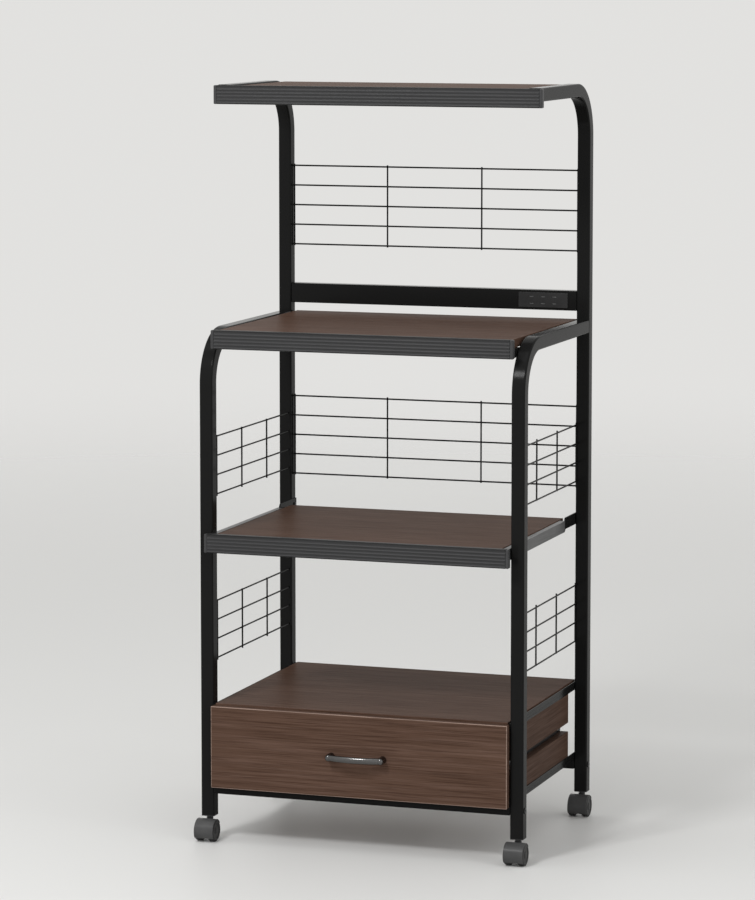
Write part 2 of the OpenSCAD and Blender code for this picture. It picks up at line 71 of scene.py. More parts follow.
# Wire guards: how far inner rows stop short, end wires from the ends, inner wires from the middle or the front end
BACK_ROWS = 5
BACK_TRIM = 7.6 * MM
BACK_END = 9.5 * MM
BACK_INNER = 91 * MM
SIDE_ROWS = 4
SIDE_TRIM = 8.6 * MM
SIDE_END = 10.5 * MM
SIDE_INNER = (135 * MM, 263 * MM)

# Outlet: front plate, the body's inset behind it, and the slots' places, half sizes and depth
PLATE = 1.5 * MM
INSET_X = 2.3 * MM
INSET_Z = 2.6 * MM
SOCKETS = (-22 * MM, -0.5 * MM, 21 * MM)
SLOT_ROWS = (-6.2 * MM, 6.2 * MM)
SLOT_LENGTH = 4 * MM
SLOT_WIDTH = MM
SLOT_DEPTH = 1.2 * MM

# Handle: half thickness and half height of the bar, rise of its arc, inset and radii of the feet
BAR = 4 * MM
BAR_TALL = 5.7 / 4
BAR_RISE = 8 * MM
FOOT_INSET = 7 * MM
FOOT_BASE = 6.9 * MM
FOOT_NECK = 5.5 * MM
FOOT_CROWN = 6.5 * MM

# Casters: outlines in millimetres, as distance along the axle and radius for the hood, and the reverse for the wheel
HOOD = ((-18, 19.8), (-18, 20.2), (-17.7, 20.7), (-17.2, 21), (17.2, 21), (17.7, 20.7), (18, 20.2), (18, 19.8))
WEB = ((-6.2, 2), (-6.2, 20), (6.2, 20), (6.2, 2))
WHEEL = ((0, 6.7), (17.6, 6.7), (18.6, 7.1), (19, 8.2), (19, 16.2), (18.7, 17.4), (17.6, 18.3), (16, 18.5),
         (14.4, 18.4), (13.6, 17.6), (8, 17.2), (7, 17.6), (6, 18.3), (3, 18.4), (0, 18.4))
HOOD_START = math.radians(34)
HUB_HALF = 6.2 * MM
HUB = 9 * MM
BOSS = 6.1 * MM

# Stage: floor, the distances between which it fades, and each lamp's name, place, size and power
FLOOR = 9.0
FADE = (1.6, 7.5)
AIM = (0, 0, 0.7)
LAMPS = (
    ("key", (-0.85, -2.7, 3.0), 0.65, 60.0),
    ("fill", (3.4, -1.3, 1.7), 0.4, 9.0),
    ("top", (-0.8, -0.7, 3.6), 1.4, 8.0),
)


# Properties

def colour(name, description, default):
    """Colour property in scene-linear values."""
    return FloatVectorProperty(
        name=name, description=description, default=default, subtype="COLOR", size=3, min=0.0, max=1.0)


def length(name, description, millimetres):
    """Length property given in millimetres."""
    return FloatProperty(
        name=name, description=description, default=millimetres * MM, min=0.0, unit="LENGTH", precision=4)


class CartFinishes(bpy.types.PropertyGroup):
    """Colours of the cart's finishes"""
    paint: colour("Paint", "Glossy paint of the tubes, rails and wires", (0.0095, 0.0095, 0.0093))
    walnut_dark: colour("Walnut, dark", "Dark lines of the laminate", (0.050, 0.029, 0.0205))
    walnut_light: colour("Walnut, light", "Light lines of the laminate", (0.118, 0.072, 0.054))
    # Painted highlight: the drawer front's rounded edges get this lighter colour to stand in for the light they
    # catch
    edge_highlight: colour("Edge band", "Eased edges of the drawer's front", (0.240, 0.175, 0.145))
    drawer_wood: colour("Drawer wood", "Boards inside the drawer", (0.200, 0.138, 0.104))
    profile: colour("Edge profile", "Fluted profiles on the shelves' front edges", (0.035, 0.035, 0.0358))
    cap: colour("End cap", "Moulded caps on the profiles", (0.046, 0.046, 0.047))
    plastic: colour("Plastic", "Socket outlet and foot plugs", (0.029, 0.029, 0.0292))
    steel: colour("Steel", "Plated steel of the slides and axles", (0.08, 0.08, 0.082))
    screw: colour("Screw", "Blackened steel of screws and bolts", (0.06, 0.06, 0.061))
    handle: colour("Handle", "Black nickel of the handle", (0.12, 0.118, 0.116))
    caster: colour("Caster", "Moulded casters", (0.058, 0.058, 0.058))


class CartSizes(bpy.types.PropertyGroup):
    """Sizes that the frame's boxes don't give"""
    corner: length("Tube corner", "Radius of the tube's corners", 3.0)
    bend: length("Tube bend", "Centre-line radius of the bends", 84.0)
    board_edge: length("Board edge", "Radius of the boards' edges", 0.7)
    sheet: length("Sheet", "Thickness of folded sheet metal", 1.5)
    flutes: IntProperty(name="Flutes", description="Flutes on one edge profile", default=5, min=1)
    flute_pitch: length("Flute pitch", "Spacing of the flutes", 6.0)
    flute_radius: length("Flute radius", "Radius of the cutter that makes the flutes", 4.0)
    flute_depth: length("Flute depth", "Depth of the flutes in the edge profiles", 0.9)
    rim: length("Rim", "Radius of the profiles' rims", 2.0)
    wire: length("Wire", "Thickness of the guards' wire", 3.0)


class CartStage(bpy.types.PropertyGroup):
    """Camera, floor and light"""
    camera_place: FloatVectorProperty(
        name="Camera", description="Place of the camera", default=(2.1606, -6.4200, 1.5682),
        subtype="TRANSLATION", unit="LENGTH")
    camera_yaw: FloatProperty(name="Yaw", description="Camera's turn", default=0.3293, subtype="ANGLE")
    camera_dip: FloatProperty(name="Dip", description="Camera's downward tilt", default=0.1066, subtype="ANGLE")
    lens: FloatProperty(name="Lens", description="Focal length in millimetres", default=152.302, min=10.0)
    shift: FloatProperty(name="Shift", description="Vertical lens shift", default=-0.0933)
    floor: colour("Floor", "Plain pale floor", (0.66, 0.66, 0.65))
    sky_front: colour("Surround, front", "Soft surround on the viewer's side", (1.0, 1.0, 1.0))
    sky_back: colour("Surround, back", "Soft surround behind the cart", (0.76, 0.755, 0.74))


# Mesh helpers

def slab(bm, low, high, radius, segments=3):
    """Box between two corners with rounded edges."""
    low, high = Vector(low), Vector(high)
    place = Matrix.Translation((low + high) / 2) @ Matrix.Diagonal((*(high - low), 1.0))
    verts = bmesh.ops.create_cube(bm, size=1.0, matrix=place)["verts"]
    edges = list({edge for vert in verts for edge in vert.link_edges})
    if radius:
        bmesh.ops.bevel(bm, geom=edges, offset=radius, offset_type="OFFSET", segments=segments,
                        profile=0.5, affect="EDGES", material=-1, clamp_overlap=True)


def rod(bm, start, end, radius, segments=14):
    """Round bar between two points."""
    start, end = Vector(start), Vector(end)
    axis = end - start
    place = Matrix.Translation((start + end) / 2) @ axis.to_track_quat("Z", "Y").to_matrix().to_4x4()
    bmesh.ops.create_cone(bm, cap_ends=True, segments=segments, radius1=radius, radius2=radius,
                          depth=axis.length, matrix=place)


def outline(bm, points):
    """Face through a few points."""
    return bm.faces.new([bm.verts.new(point) for point in points])


def extrude(bm, face, offset):
    """Face pushed along an offset; returns the moved face."""
    made = bmesh.ops.extrude_face_region(bm, geom=[face])["geom"]
    bmesh.ops.translate(bm, vec=offset, verts=[item for item in made if isinstance(item, bmesh.types.BMVert)])
    return next(item for item in made if isinstance(item, bmesh.types.BMFace))


def sweep(bm, face, centre, axis, angle, steps):
    """Face swept round an axis; returns the last face."""
    made = bmesh.ops.spin(bm, geom=[face, *face.edges, *face.verts], cent=centre, axis=axis, dvec=(0, 0, 0),
                          angle=angle, steps=steps, use_merge=False, use_duplicate=False)["geom_last"]
    return next(item for item in made if isinstance(item, bmesh.types.BMFace))


def turned(bm, points, centre, axis, steps=48):
    """Ring or disc turned from a closed outline."""
    face = outline(bm, points)
    edges = list(face.edges)
    bm.faces.remove(face)
    bmesh.ops.spin(bm, geom=edges, cent=centre, axis=axis, dvec=(0, 0, 0), angle=math.tau,
                   steps=steps, use_merge=True, use_duplicate=False)


def finish(name, bm, materials, body, slot, *nodes):
    """Turns a bmesh into a piece that rides its body and stands for CAD nodes."""
    bmesh.ops.recalc_face_normals(bm, faces=bm.faces[:])
    for face in bm.faces:
        face.smooth = True
    for edge in bm.edges:
        edge.smooth = edge.calc_face_angle(0.0) < SHARP
    mesh = bpy.data.meshes.new(name)
    bm.to_mesh(mesh)
    bm.free()
    for material in materials:
        mesh.materials.append(material)
    piece = bpy.data.objects.new(name, mesh)
    bpy.context.scene.collection.objects.link(piece)
    piece.modifiers.new("Face weights", "WEIGHTED_NORMAL").keep_sharp = True
    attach(piece, body)
    if nodes:
        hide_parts(*nodes)
    return piece


def dress(node, material, radius=0.0003):
    """CAD node with a material and eased edges."""
    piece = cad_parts[node]
    piece.data.materials.clear()
    piece.data.materials.append(material)
    for face in piece.data.polygons:
        face.use_smooth = True
        face.material_index = 0
    piece.modifiers.new("Weld", "WELD").merge_threshold = 1e-6
    bevel = piece.modifiers.new("Eased edges", "BEVEL")
    bevel.width = radius
    bevel.segments = 2
    bevel.limit_method = "ANGLE"
    bevel.angle_limit = math.radians(40)
    piece.modifiers.new("Face weights", "WEIGHTED_NORMAL").keep_sharp = True


# Material helpers

def shader(name, base, roughness, metallic=0.0, specular=0.5):
    """Material with the plain values on its own sockets."""
    material = bpy.data.materials.new(name)
    material.use_nodes = True
    surface = material.node_tree.nodes["Principled BSDF"]
    surface.inputs["Base Color"].default_value = (*base, 1.0)
    surface.inputs["Roughness"].default_value = roughness
    surface.inputs["Metallic"].default_value = metallic
    surface.inputs["Specular IOR Level"].default_value = specular
    return material, surface


def noise(material, stretch, detail=3.0, rough=0.5, distortion=0.0):
    """Noise on object coordinates, in cycles per metre along each axis."""
    nodes, links = material.node_tree.nodes, material.node_tree.links
    place = nodes.new("ShaderNodeTexCoord")
    mapping = nodes.new("ShaderNodeMapping")
    texture = nodes.new("ShaderNodeTexNoise")
    mapping.inputs["Scale"].default_value = stretch
    texture.inputs["Scale"].default_value = 1.0
    texture.inputs["Detail"].default_value = detail
    texture.inputs["Roughness"].default_value = rough
    texture.inputs["Distortion"].default_value = distortion
    links.new(place.outputs["Object"], mapping.inputs["Vector"])
    links.new(mapping.outputs["Vector"], texture.inputs["Vector"])
    return texture.outputs["Fac"]


def ramp(material, source, stops):
    """Colour ramp over a texture."""
    node = material.node_tree.nodes.new("ShaderNodeValToRGB")
    node.color_ramp.elements[0].position = stops[0][0]
    node.color_ramp.elements[1].position = stops[-1][0]
    for position, _ in stops[1:-1]:
        node.color_ramp.elements.new(position)
    for element, (_, shade) in zip(node.color_ramp.elements, stops):
        element.color = (*shade, 1.0)
    material.node_tree.links.new(source, node.inputs["Fac"])
    return node.outputs["Color"]


def blend(material, mode, amount, under, over):
    """Two colours mixed in one of the usual modes."""
    node = material.node_tree.nodes.new("ShaderNodeMix")
    node.data_type = "RGBA"
    node.blend_type = mode
    node.inputs[0].default_value = amount
    material.node_tree.links.new(under, node.inputs[6])
    material.node_tree.links.new(over, node.inputs[7])
    return node.outputs[2]


def spread(material, surface, socket, source, low, high):
    """Texture mapped to a range of a shader's value."""
    node = material.node_tree.nodes.new("ShaderNodeMapRange")
    node.inputs["From Min"].default_value = 0.3
    node.inputs["From Max"].default_value = 0.7
    node.inputs["To Min"].default_value = low
    node.inputs["To Max"].default_value = high
    material.node_tree.links.new(source, node.inputs["Value"])
    material.node_tree.links.new(node.outputs["Result"], surface.inputs[socket])


def relief(material, surface, source, strength, depth):
    """Fine bump from a texture."""
    node = material.node_tree.nodes.new("ShaderNodeBump")
    node.inputs["Strength"].default_value = strength
    node.inputs["Distance"].default_value = depth
    material.node_tree.links.new(source, node.inputs["Height"])
    material.node_tree.links.new(node.outputs["Normal"], surface.inputs["Normal"])


# Materials

def toned(base, factor):
    """Colour made darker or lighter."""
    return tuple(min(1.0, channel * factor) for channel in base)


def streaks(along, across, lengthwise):
    """Cycles per metre of a pattern that is drawn out along one axis."""
    return [lengthwise if axis == along else across for axis in range(3)]


def gloss_paint(finishes):
    """Stoved black paint with a faint orange-peel skin."""
    material, surface = shader("gloss_paint", finishes.paint, 0.14, specular=0.04)
    spread(material, surface, "Roughness", noise(material, (9, 9, 9), 4.0), 0.10, 0.18)
    relief(material, surface, noise(material, (420, 420, 420), 1.0), 0.05, 0.0002)
    return material


def laminate(name, dark, light, along, roughness):
    """Wood-grain laminate with its lines along one axis."""
    material, surface = shader(name, light, roughness, specular=0.012)
    lines, fibres, bands = (streaks(along, *scale) for scale in ((230.0, 6.0), (620.0, 9.0), (16.0, 0.9)))
    tones = ((0.25, toned(dark, 1.5)), (0.45, toned(dark, 1.8)),
             (0.65, toned(light, 0.96)), (0.85, toned(light, 1.05)))
    grain = ramp(material, noise(material, lines, 6.0, 0.62, 0.6), tones)
    fine = noise(material, fibres, 3.0, 0.6)
    pores = ramp(material, fine,
                 ((0.34, (0.50, 0.47, 0.45)), (0.52, (1.0, 1.0, 1.0)), (0.75, (1.1, 1.1, 1.1))))
    broad = ramp(material, noise(material, bands, 2.0, 0.5, 0.3),
                 ((0.3, (0.80, 0.78, 0.77)), (0.7, (1.0, 1.0, 1.0))))
    tone = blend(material, "MULTIPLY", 0.75, grain, pores)
    tone = blend(material, "MULTIPLY", 0.85, tone, broad)
    material.node_tree.links.new(tone, surface.inputs["Base Color"])
    spread(material, surface, "Roughness", fine, roughness + 0.06, roughness - 0.05)
    relief(material, surface, fine, 0.12, 0.0002)
    return material


def moulded(name, base, roughness, grit=900.0, specular=0.5):
    """Moulded plastic with a fine spark-eroded skin."""
    material, surface = shader(name, base, roughness, specular=specular)
    tone = ramp(material, noise(material, (30, 30, 30), 4.0),
                ((0.3, toned(base, 0.86)), (0.7, toned(base, 1.14))))
    material.node_tree.links.new(tone, surface.inputs["Base Color"])
    skin = noise(material, (grit, grit, grit), 2.0)
    spread(material, surface, "Roughness", skin, roughness - 0.05, roughness + 0.06)
    relief(material, surface, skin, 0.18, 0.0002)
    return material


def drawn_metal(name, base, roughness, along):
    """Plated or drawn metal with fine lines along one axis."""
    material, surface = shader(name, base, roughness, metallic=1.0)
    marks = noise(material, streaks(along, 1100.0, 14.0), 3.0, 0.6)
    tone = ramp(material, noise(material, (12, 12, 12), 4.0),
                ((0.3, toned(base, 0.82)), (0.7, toned(base, 1.1))))
    material.node_tree.links.new(tone, surface.inputs["Base Color"])
    spread(material, surface, "Roughness", marks, roughness - 0.07, roughness + 0.09)
    relief(material, surface, marks, 0.10, 0.0002)
    return material


def drawn_profile(finishes):
    """Extruded profile, satin, with die lines along its length."""
    material, surface = shader("edge_profile", finishes.profile, 0.40, specular=0.10)
    marks = noise(material, (5, 1300, 1300), 2.0, 0.6)
    tones = ((0.3, toned(finishes.profile, 0.85)), (0.7, toned(finishes.profile, 1.2)))
    tone = ramp(material, marks, tones)
    material.node_tree.links.new(tone, surface.inputs["Base Color"])
    spread(material, surface, "Roughness", marks, 0.36, 0.44)
    relief(material, surface, marks, 0.03, 0.0002)
    return material


def make_materials(finishes):
    """All of the cart's materials by name."""
    return {
        "paint": gloss_paint(finishes),
        "walnut": laminate("walnut_laminate", finishes.walnut_dark, finishes.walnut_light, 0, 0.42),
        # Painted shade: the side panels get the walnut laminate darkened to 0.8, standing in for the shade on the
        # cart's sides
        "walnut_side_shaded": laminate("walnut_laminate_side_shaded", toned(finishes.walnut_dark, 0.8),
                                toned(finishes.walnut_light, 0.8), 1, 0.42),
        # Painted highlight: a lighter laminate on the drawer front's rounded edges, standing in for the light they
        # catch
        "edge_highlight": laminate("edge_highlight", toned(finishes.edge_highlight, 0.75), finishes.edge_highlight, 0, 0.30),
        "drawer_wood": laminate("drawer_foil", toned(finishes.drawer_wood, 0.62), finishes.drawer_wood, 0, 0.45),
        "drawer_wood_side": laminate("drawer_foil_side", toned(finishes.drawer_wood, 0.62),
                                     finishes.drawer_wood, 1, 0.45),
        "profile": drawn_profile(finishes),
        # Painted shade: the profiles' rounded rims get a darker copy of the plastic, standing in for the dark lines
        # where the rims turn away from the light
        "rim": moulded("profile_rim_shade", toned(finishes.plastic, 0.66), 0.30, specular=0.05),
        "cap": moulded("cap_plastic", finishes.cap, 0.32, specular=0.10),
        "plastic": moulded("black_plastic", finishes.plastic, 0.30, specular=0.12),
        # Painted highlight: the slots' floors get the plastic made 4.5 times lighter, standing in for the light
        # caught by the slots' edges
        "socket": moulded("slot_highlight", toned(finishes.plastic, 4.5), 0.40, specular=0.12),
        "steel": drawn_metal("plated_steel", finishes.steel, 0.33, 1),
        "screw": drawn_metal("blackened_steel", finishes.screw, 0.36, 2),
        "handle": drawn_metal("black_nickel", finishes.handle, 0.19, 0),
        "caster": moulded("caster_plastic", finishes.caster, 0.34, specular=0.15),
        "wheel": moulded("wheel_plastic", toned(finishes.caster, 0.45), 0.42, 600.0, specular=0.15),
    }


MATERIALS = {}


# Shapes

def bent_tube(node, towards, sizes):
    """Square post bent over into a rail that runs forwards or back."""
    low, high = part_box(node)
    half = (high.x - low.x) / 2
    post_y = low.y + half if towards > 0 else high.y - half
    rail = abs((high.y if towards > 0 else low.y) - post_y) - sizes.bend
    top = high.z - half - sizes.bend
    bm = bmesh.new()
    place = Matrix.Translation((low.x + half, post_y, low.z))
    corners = bmesh.ops.create_grid(bm, x_segments=1, y_segments=1, size=half, matrix=place)["verts"]
    bmesh.ops.bevel(bm, geom=corners, offset=sizes.corner * 0.999, offset_type="OFFSET", segments=5,
                    profile=0.5, affect="VERTICES", material=-1)
    bm.faces.ensure_lookup_table()
    face = extrude(bm, bm.faces[0], (0, 0, top - low.z))
    centre = (0, post_y + towards * sizes.bend, top)
    face = sweep(bm, face, centre, (1, 0, 0), -towards * math.pi / 2, 18)
    extrude(bm, face, (0, towards * rail, 0))
    return bm


def edge_profile(bm, low, high, sizes):
    """Fluted profile: a scalloped front wall with lips over and under the board."""
    wall, lip, easing = PROFILE_WALL, sizes.sheet, sizes.rim
    first = len(bm.verts)
    slab(bm, low, (high.x, low.y + wall, high.z), 0.0)
    bm.verts.ensure_lookup_table()
    upright = {edge for vert in bm.verts[first:] for edge in vert.link_edges
               if abs(edge.verts[0].co.z - edge.verts[1].co.z) > lip}
    rows = round((high.z - low.z) / PROFILE_ROW)
    bmesh.ops.subdivide_edges(bm, edges=list(upright), cuts=rows - 1, use_grid_fill=True)
    axis = sizes.flute_radius - sizes.flute_depth
    middle = (low.z + high.z) / 2
    for vert in bm.verts[first:]:
        if vert.co.y < low.y + wall / 2:
            row = (vert.co.z - middle) / sizes.flute_pitch
            nearest = max(-(sizes.flutes // 2), min(sizes.flutes // 2, round(row)))
            across = (row - nearest) * sizes.flute_pitch
            if abs(across) < sizes.flute_radius:
                vert.co.y += max(0.0, math.sqrt(sizes.flute_radius ** 2 - across ** 2) - axis)
            past = easing - min(high.z - vert.co.z, vert.co.z - low.z)
            if past > 0:
                vert.co.y += easing - math.sqrt(max(0.0, easing ** 2 - past ** 2))
    # Faces on the rims take the second material, darker as painted shade
    for face in bm.faces:
        height = face.calc_center_median().z
        if min(height - low.z, high.z - height) < sizes.rim:
            face.material_index = 1
    slab(bm, (low.x, low.y + wall, high.z - lip), high, SMALL_EDGE)
    board = high.z - lip - BOARD
    slab(bm, (low.x, low.y + wall, board - lip), (high.x, high.y, board), SMALL_EDGE)
    slab(bm, (low.x, low.y + wall, low.z), (high.x, low.y + PROFILE_FOOT, low.z + lip), SMALL_EDGE)


def recess(bm, low, high, depth):
    """Pocket pressed into a front face between two corners, seen from the front."""
    for axis in (0, 2):
        for value in (low[axis], high[axis]):
            normal = [0.0, 0.0, 0.0]
            normal[axis] = 1.0
            point = [0.0, 0.0, 0.0]
            point[axis] = value
            bmesh.ops.bisect_plane(bm, geom=[*bm.verts, *bm.edges, *bm.faces], dist=1e-6,
                                   plane_co=point, plane_no=normal)
    bm.normal_update()
    for face in list(bm.faces):
        middle = face.calc_center_median()
        inside = all(low[axis] < middle[axis] < high[axis] for axis in (0, 2))
        if inside and face.normal.y < -0.9:
            extrude_in = bmesh.ops.extrude_discrete_faces(bm, faces=[face])["faces"][0]
            bmesh.ops.translate(bm, vec=(0, depth, 0), verts=extrude_in.verts[:])
            # Pocket floors take the second material; on the outlet that is a painted highlight
            extrude_in.material_index = 1


# Operators

class CART_OT_posts(bpy.types.Operator):
    """Bent posts and the two bottom rails"""
    bl_idname = "cart.posts"
    bl_label = "Posts and rails"

    def execute(self, context):
        sizes = context.scene.cart_sizes
        for node, towards in (("front_tube_left", 1), ("front_tube_right", 1),
                              ("rear_tube_left", -1), ("rear_tube_right", -1)):
            finish(node + "_painted", bent_tube(node, towards, sizes), [MATERIALS["paint"]],
                   "frame", "black_steel", node)
        for node in ("front_bottom_rail", "rear_bottom_rail"):
            bm = bmesh.new()
            slab(bm, *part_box(node), 1.4 * MM, 3)
            finish(node + "_painted", bm, [MATERIALS["paint"]], "frame", "black_steel", node)
        for node in ("side_angles", "shelf_brackets", "tray_slide_brackets"):
            dress(node, MATERIALS["paint"])
        return {"FINISHED"}


class CART_OT_boards(bpy.types.Operator):
    """Shelf boards, cabinet boards and the tray's board"""
    bl_idname = "cart.boards"
    bl_label = "Boards"

    def execute(self, context):
        sizes = context.scene.cart_sizes
        for node, body in (("top_board", "frame"), ("upper_board", "frame"),
                           ("cabinet_top_board", "frame"), ("tray_board", "tray")):
            bm = bmesh.new()
            slab(bm, *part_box(node), sizes.board_edge)
            finish(node + "_laminate", bm, [MATERIALS["walnut"]], body, "walnut_board", node)
        for node in ("upper_side_panels", "lower_side_panels"):
            low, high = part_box(node)
            bm = bmesh.new()
            for side in (1, -1):
                xs = sorted((side * high.x, side * (high.x - BOARD)))
                slab(bm, (xs[0], low.y, low.z), (xs[1], high.y, high.z), sizes.board_edge)
            # Side panels take the darkened laminate, painted shade
            finish(node + "_laminate", bm, [MATERIALS["walnut_side_shaded"]], "frame", "walnut_board", node)
        return {"FINISHED"}


class CART_OT_profiles(bpy.types.Operator):
    """Fluted edge profiles and their end caps"""
    bl_idname = "cart.profiles"
    bl_label = "Edge profiles"

    def execute(self, context):
        sizes = context.scene.cart_sizes
        caps = {"frame": bmesh.new(), "tray": bmesh.new()}
        for node, body in (("top_fascia", "frame"), ("upper_fascia", "frame"),
                           ("tray_fascia", "tray")):
            low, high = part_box(node)
            bm = bmesh.new()
            edge_profile(bm, low, high, sizes)
            finish(node + "_fluted", bm, [MATERIALS["profile"], MATERIALS["rim"]],
                   body, "fascia_profile", node)
            for side in (1, -1):
                xs = sorted((side * (high.x + CAP_GAP), side * (high.x + CAP_LENGTH)))
                slab(caps[body], (xs[0], low.y, low.z), (xs[1], high.y, high.z), sizes.rim, 5)
        finish("shelf_caps", caps["frame"], [MATERIALS["cap"]], "frame", "cap_plastic", "fascia_end_caps")
        finish("tray_caps", caps["tray"], [MATERIALS["cap"]], "tray", "cap_plastic", "tray_end_caps")
        return {"FINISHED"}


class CART_OT_guards(bpy.types.Operator):
    """Wire guards at the back and the sides"""
    bl_idname = "cart.guards"
    bl_label = "Wire guards"

    def execute(self, context):
        radius = context.scene.cart_sizes.wire / 2
        for node in ("top_back_guard", "middle_back_guard"):
            low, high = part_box(node)
            bm = bmesh.new()
            plane = low.y + radius
            span = high.z - low.z - 4 * radius
            for row in range(BACK_ROWS):
                z = low.z + 2 * radius + span * row / (BACK_ROWS - 1)
                reach = high.x if row in (0, BACK_ROWS - 1) else high.x - BACK_TRIM
                rod(bm, (-reach, plane, z), (reach, plane, z), radius)
            for x in (-high.x + BACK_END, -BACK_INNER, BACK_INNER, high.x - BACK_END):
                rod(bm, (x, high.y - radius, low.z), (x, high.y - radius, high.z), radius)
            finish(node + "_wires", bm, [MATERIALS["paint"]], "frame", "black_steel", node)
        for node in ("middle_side_guards", "lower_side_guards"):
            low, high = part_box(node)
            bm = bmesh.new()
            span = high.z - low.z - 4 * radius
            for side in (1, -1):
                x = side * (high.x - radius)
                for row in range(SIDE_ROWS):
                    z = low.z + 2 * radius + span * row / (SIDE_ROWS - 1)
                    trim = 0.0 if row in (0, SIDE_ROWS - 1) else SIDE_TRIM
                    rod(bm, (x, low.y + trim, z), (x, high.y - trim, z), radius)
                for y in (low.y + SIDE_END, *(low.y + inner for inner in SIDE_INNER), high.y - SIDE_END):
                    behind = x - side * 1.6 * radius
                    rod(bm, (behind, y, low.z), (behind, y, high.z), radius)
            finish(node + "_wires", bm, [MATERIALS["paint"]], "frame", "black_steel", node)
        return {"FINISHED"}


class CART_OT_outlet(bpy.types.Operator):
    """Outlet bar and its three sockets"""
    bl_idname = "cart.outlet"
    bl_label = "Outlet"

    def execute(self, context):
        sheet = context.scene.cart_sizes.sheet
        low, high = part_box("outlet_bar")
        bm = bmesh.new()
        slab(bm, low, (high.x, low.y + sheet, high.z), SHEET_EDGE)
        for z in (low.z, high.z - sheet):
            slab(bm, (low.x, low.y, z), (high.x, high.y, z + sheet), SHEET_EDGE)
        for x in (low.x, high.x - sheet):
            slab(bm, (x, low.y, low.z), (x + sheet, high.y, high.z), SHEET_EDGE)
        finish("outlet_bar_painted", bm, [MATERIALS["paint"]], "frame", "black_steel", "outlet_bar")
        low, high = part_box("outlet_module")
        bm = bmesh.new()
        plate = low.y + PLATE
        slab(bm, low, (high.x, plate, high.z), 0.5 * MM)
        slab(bm, (low.x + INSET_X, plate, low.z + INSET_Z),
             (high.x - INSET_X, high.y, high.z - INSET_Z), 0.4 * MM)
        centre = (low + high) / 2
        for socket in SOCKETS:
            for row in SLOT_ROWS:
                x, z = centre.x + socket, centre.z + row
                recess(bm, (x - SLOT_LENGTH, 0, z - SLOT_WIDTH), (x + SLOT_LENGTH, 0, z + SLOT_WIDTH), SLOT_DEPTH)
        finish("outlet_sockets", bm, [MATERIALS["plastic"], MATERIALS["socket"]],
               "frame", "black_plastic", "outlet_module")
        return {"FINISHED"}


class CART_OT_drawer(bpy.types.Operator):
    """Drawer front with a painted highlight on its rounded edges, box and bow handle"""
    bl_idname = "cart.drawer"
    bl_label = "Drawer"

    def execute(self, context):
        bm = bmesh.new()
        slab(bm, *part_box("drawer_front"), 1.2 * MM)
        bm.normal_update()
        # The rounded edge faces take the second material, a painted highlight
        for face in bm.faces:
            if 0.01 < abs(face.normal.y) < 0.99:
                face.material_index = 1
        finish("drawer_front_laminate", bm, [MATERIALS["walnut"], MATERIALS["edge_highlight"]],
               "drawer", "walnut_board", "drawer_front")
        for node in ("drawer_box_front", "drawer_back", "drawer_bottom",
                     "drawer_side_left", "drawer_side_right"):
            bm = bmesh.new()
            slab(bm, *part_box(node), 0.5 * MM)
            wood = "drawer_wood_side" if "side" in node else "drawer_wood"
            finish(node + "_foil", bm, [MATERIALS[wood]], "drawer", "drawer_board", node)
        self.handle()
        return {"FINISHED"}

    def handle(self):
        """Bar swept along a shallow arc between two flared feet."""
        low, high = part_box("drawer_handle")
        centre = (low + high) / 2
        half = (high.x - low.x) / 2 - FOOT_INSET
        middle = high.y - low.y - BAR
        radius = (half * half + BAR_RISE * BAR_RISE) / (2 * BAR_RISE)
        angle = math.asin(half / radius)
        hub = Vector((centre.x, high.y - middle + radius, centre.z))
        bm = bmesh.new()
        place = Matrix.Translation((centre.x, high.y - middle, centre.z)) @ Matrix.Rotation(math.pi / 2, 4, "Y")
        ring = bmesh.ops.create_circle(bm, cap_ends=True, segments=24, radius=BAR, matrix=place)["verts"]
        bmesh.ops.scale(bm, vec=(1, 1, BAR_TALL), space=Matrix.Translation(-centre), verts=ring)
        bmesh.ops.rotate(bm, cent=hub, matrix=Matrix.Rotation(-angle, 3, "Z"), verts=ring)
        bm.faces.ensure_lookup_table()
        sweep(bm, bm.faces[0], hub, (0, 0, 1), 2 * angle, 40)
        foot = middle - BAR_RISE
        for x in (-half, half):
            seat = Matrix.Translation((x, high.y - foot / 2, centre.z)) @ Matrix.Rotation(math.pi / 2, 4, "X")
            bmesh.ops.create_cone(bm, cap_ends=True, segments=32, radius1=FOOT_BASE, radius2=FOOT_NECK,
                                  depth=foot, matrix=seat)
            bmesh.ops.create_uvsphere(bm, u_segments=32, v_segments=16, radius=FOOT_CROWN,
                                      matrix=Matrix.Translation((x, high.y - foot, centre.z)))
        finish("bow_handle", bm, [MATERIALS["handle"]], "drawer", "handle_metal", "drawer_handle")


class CART_OT_slides(bpy.types.Operator):
    """Slide members, ball cages and fasteners"""
    bl_idname = "cart.slides"
    bl_label = "Slides and fasteners"

    def execute(self, context):
        for node in ("drawer_slide_channels", "tray_slide_channels", "drawer_runners", "tray_runners",
                     "drawer_ball_cages", "tray_ball_cages"):
            dress(node, MATERIALS["steel"], 0.0002)
        for node in ("frame_bolts", "frame_screws", "drawer_screws", "tray_screws"):
            dress(node, MATERIALS["screw"])
        dress("caster_sockets", MATERIALS["plastic"], 0.0005)
        return {"FINISHED"}


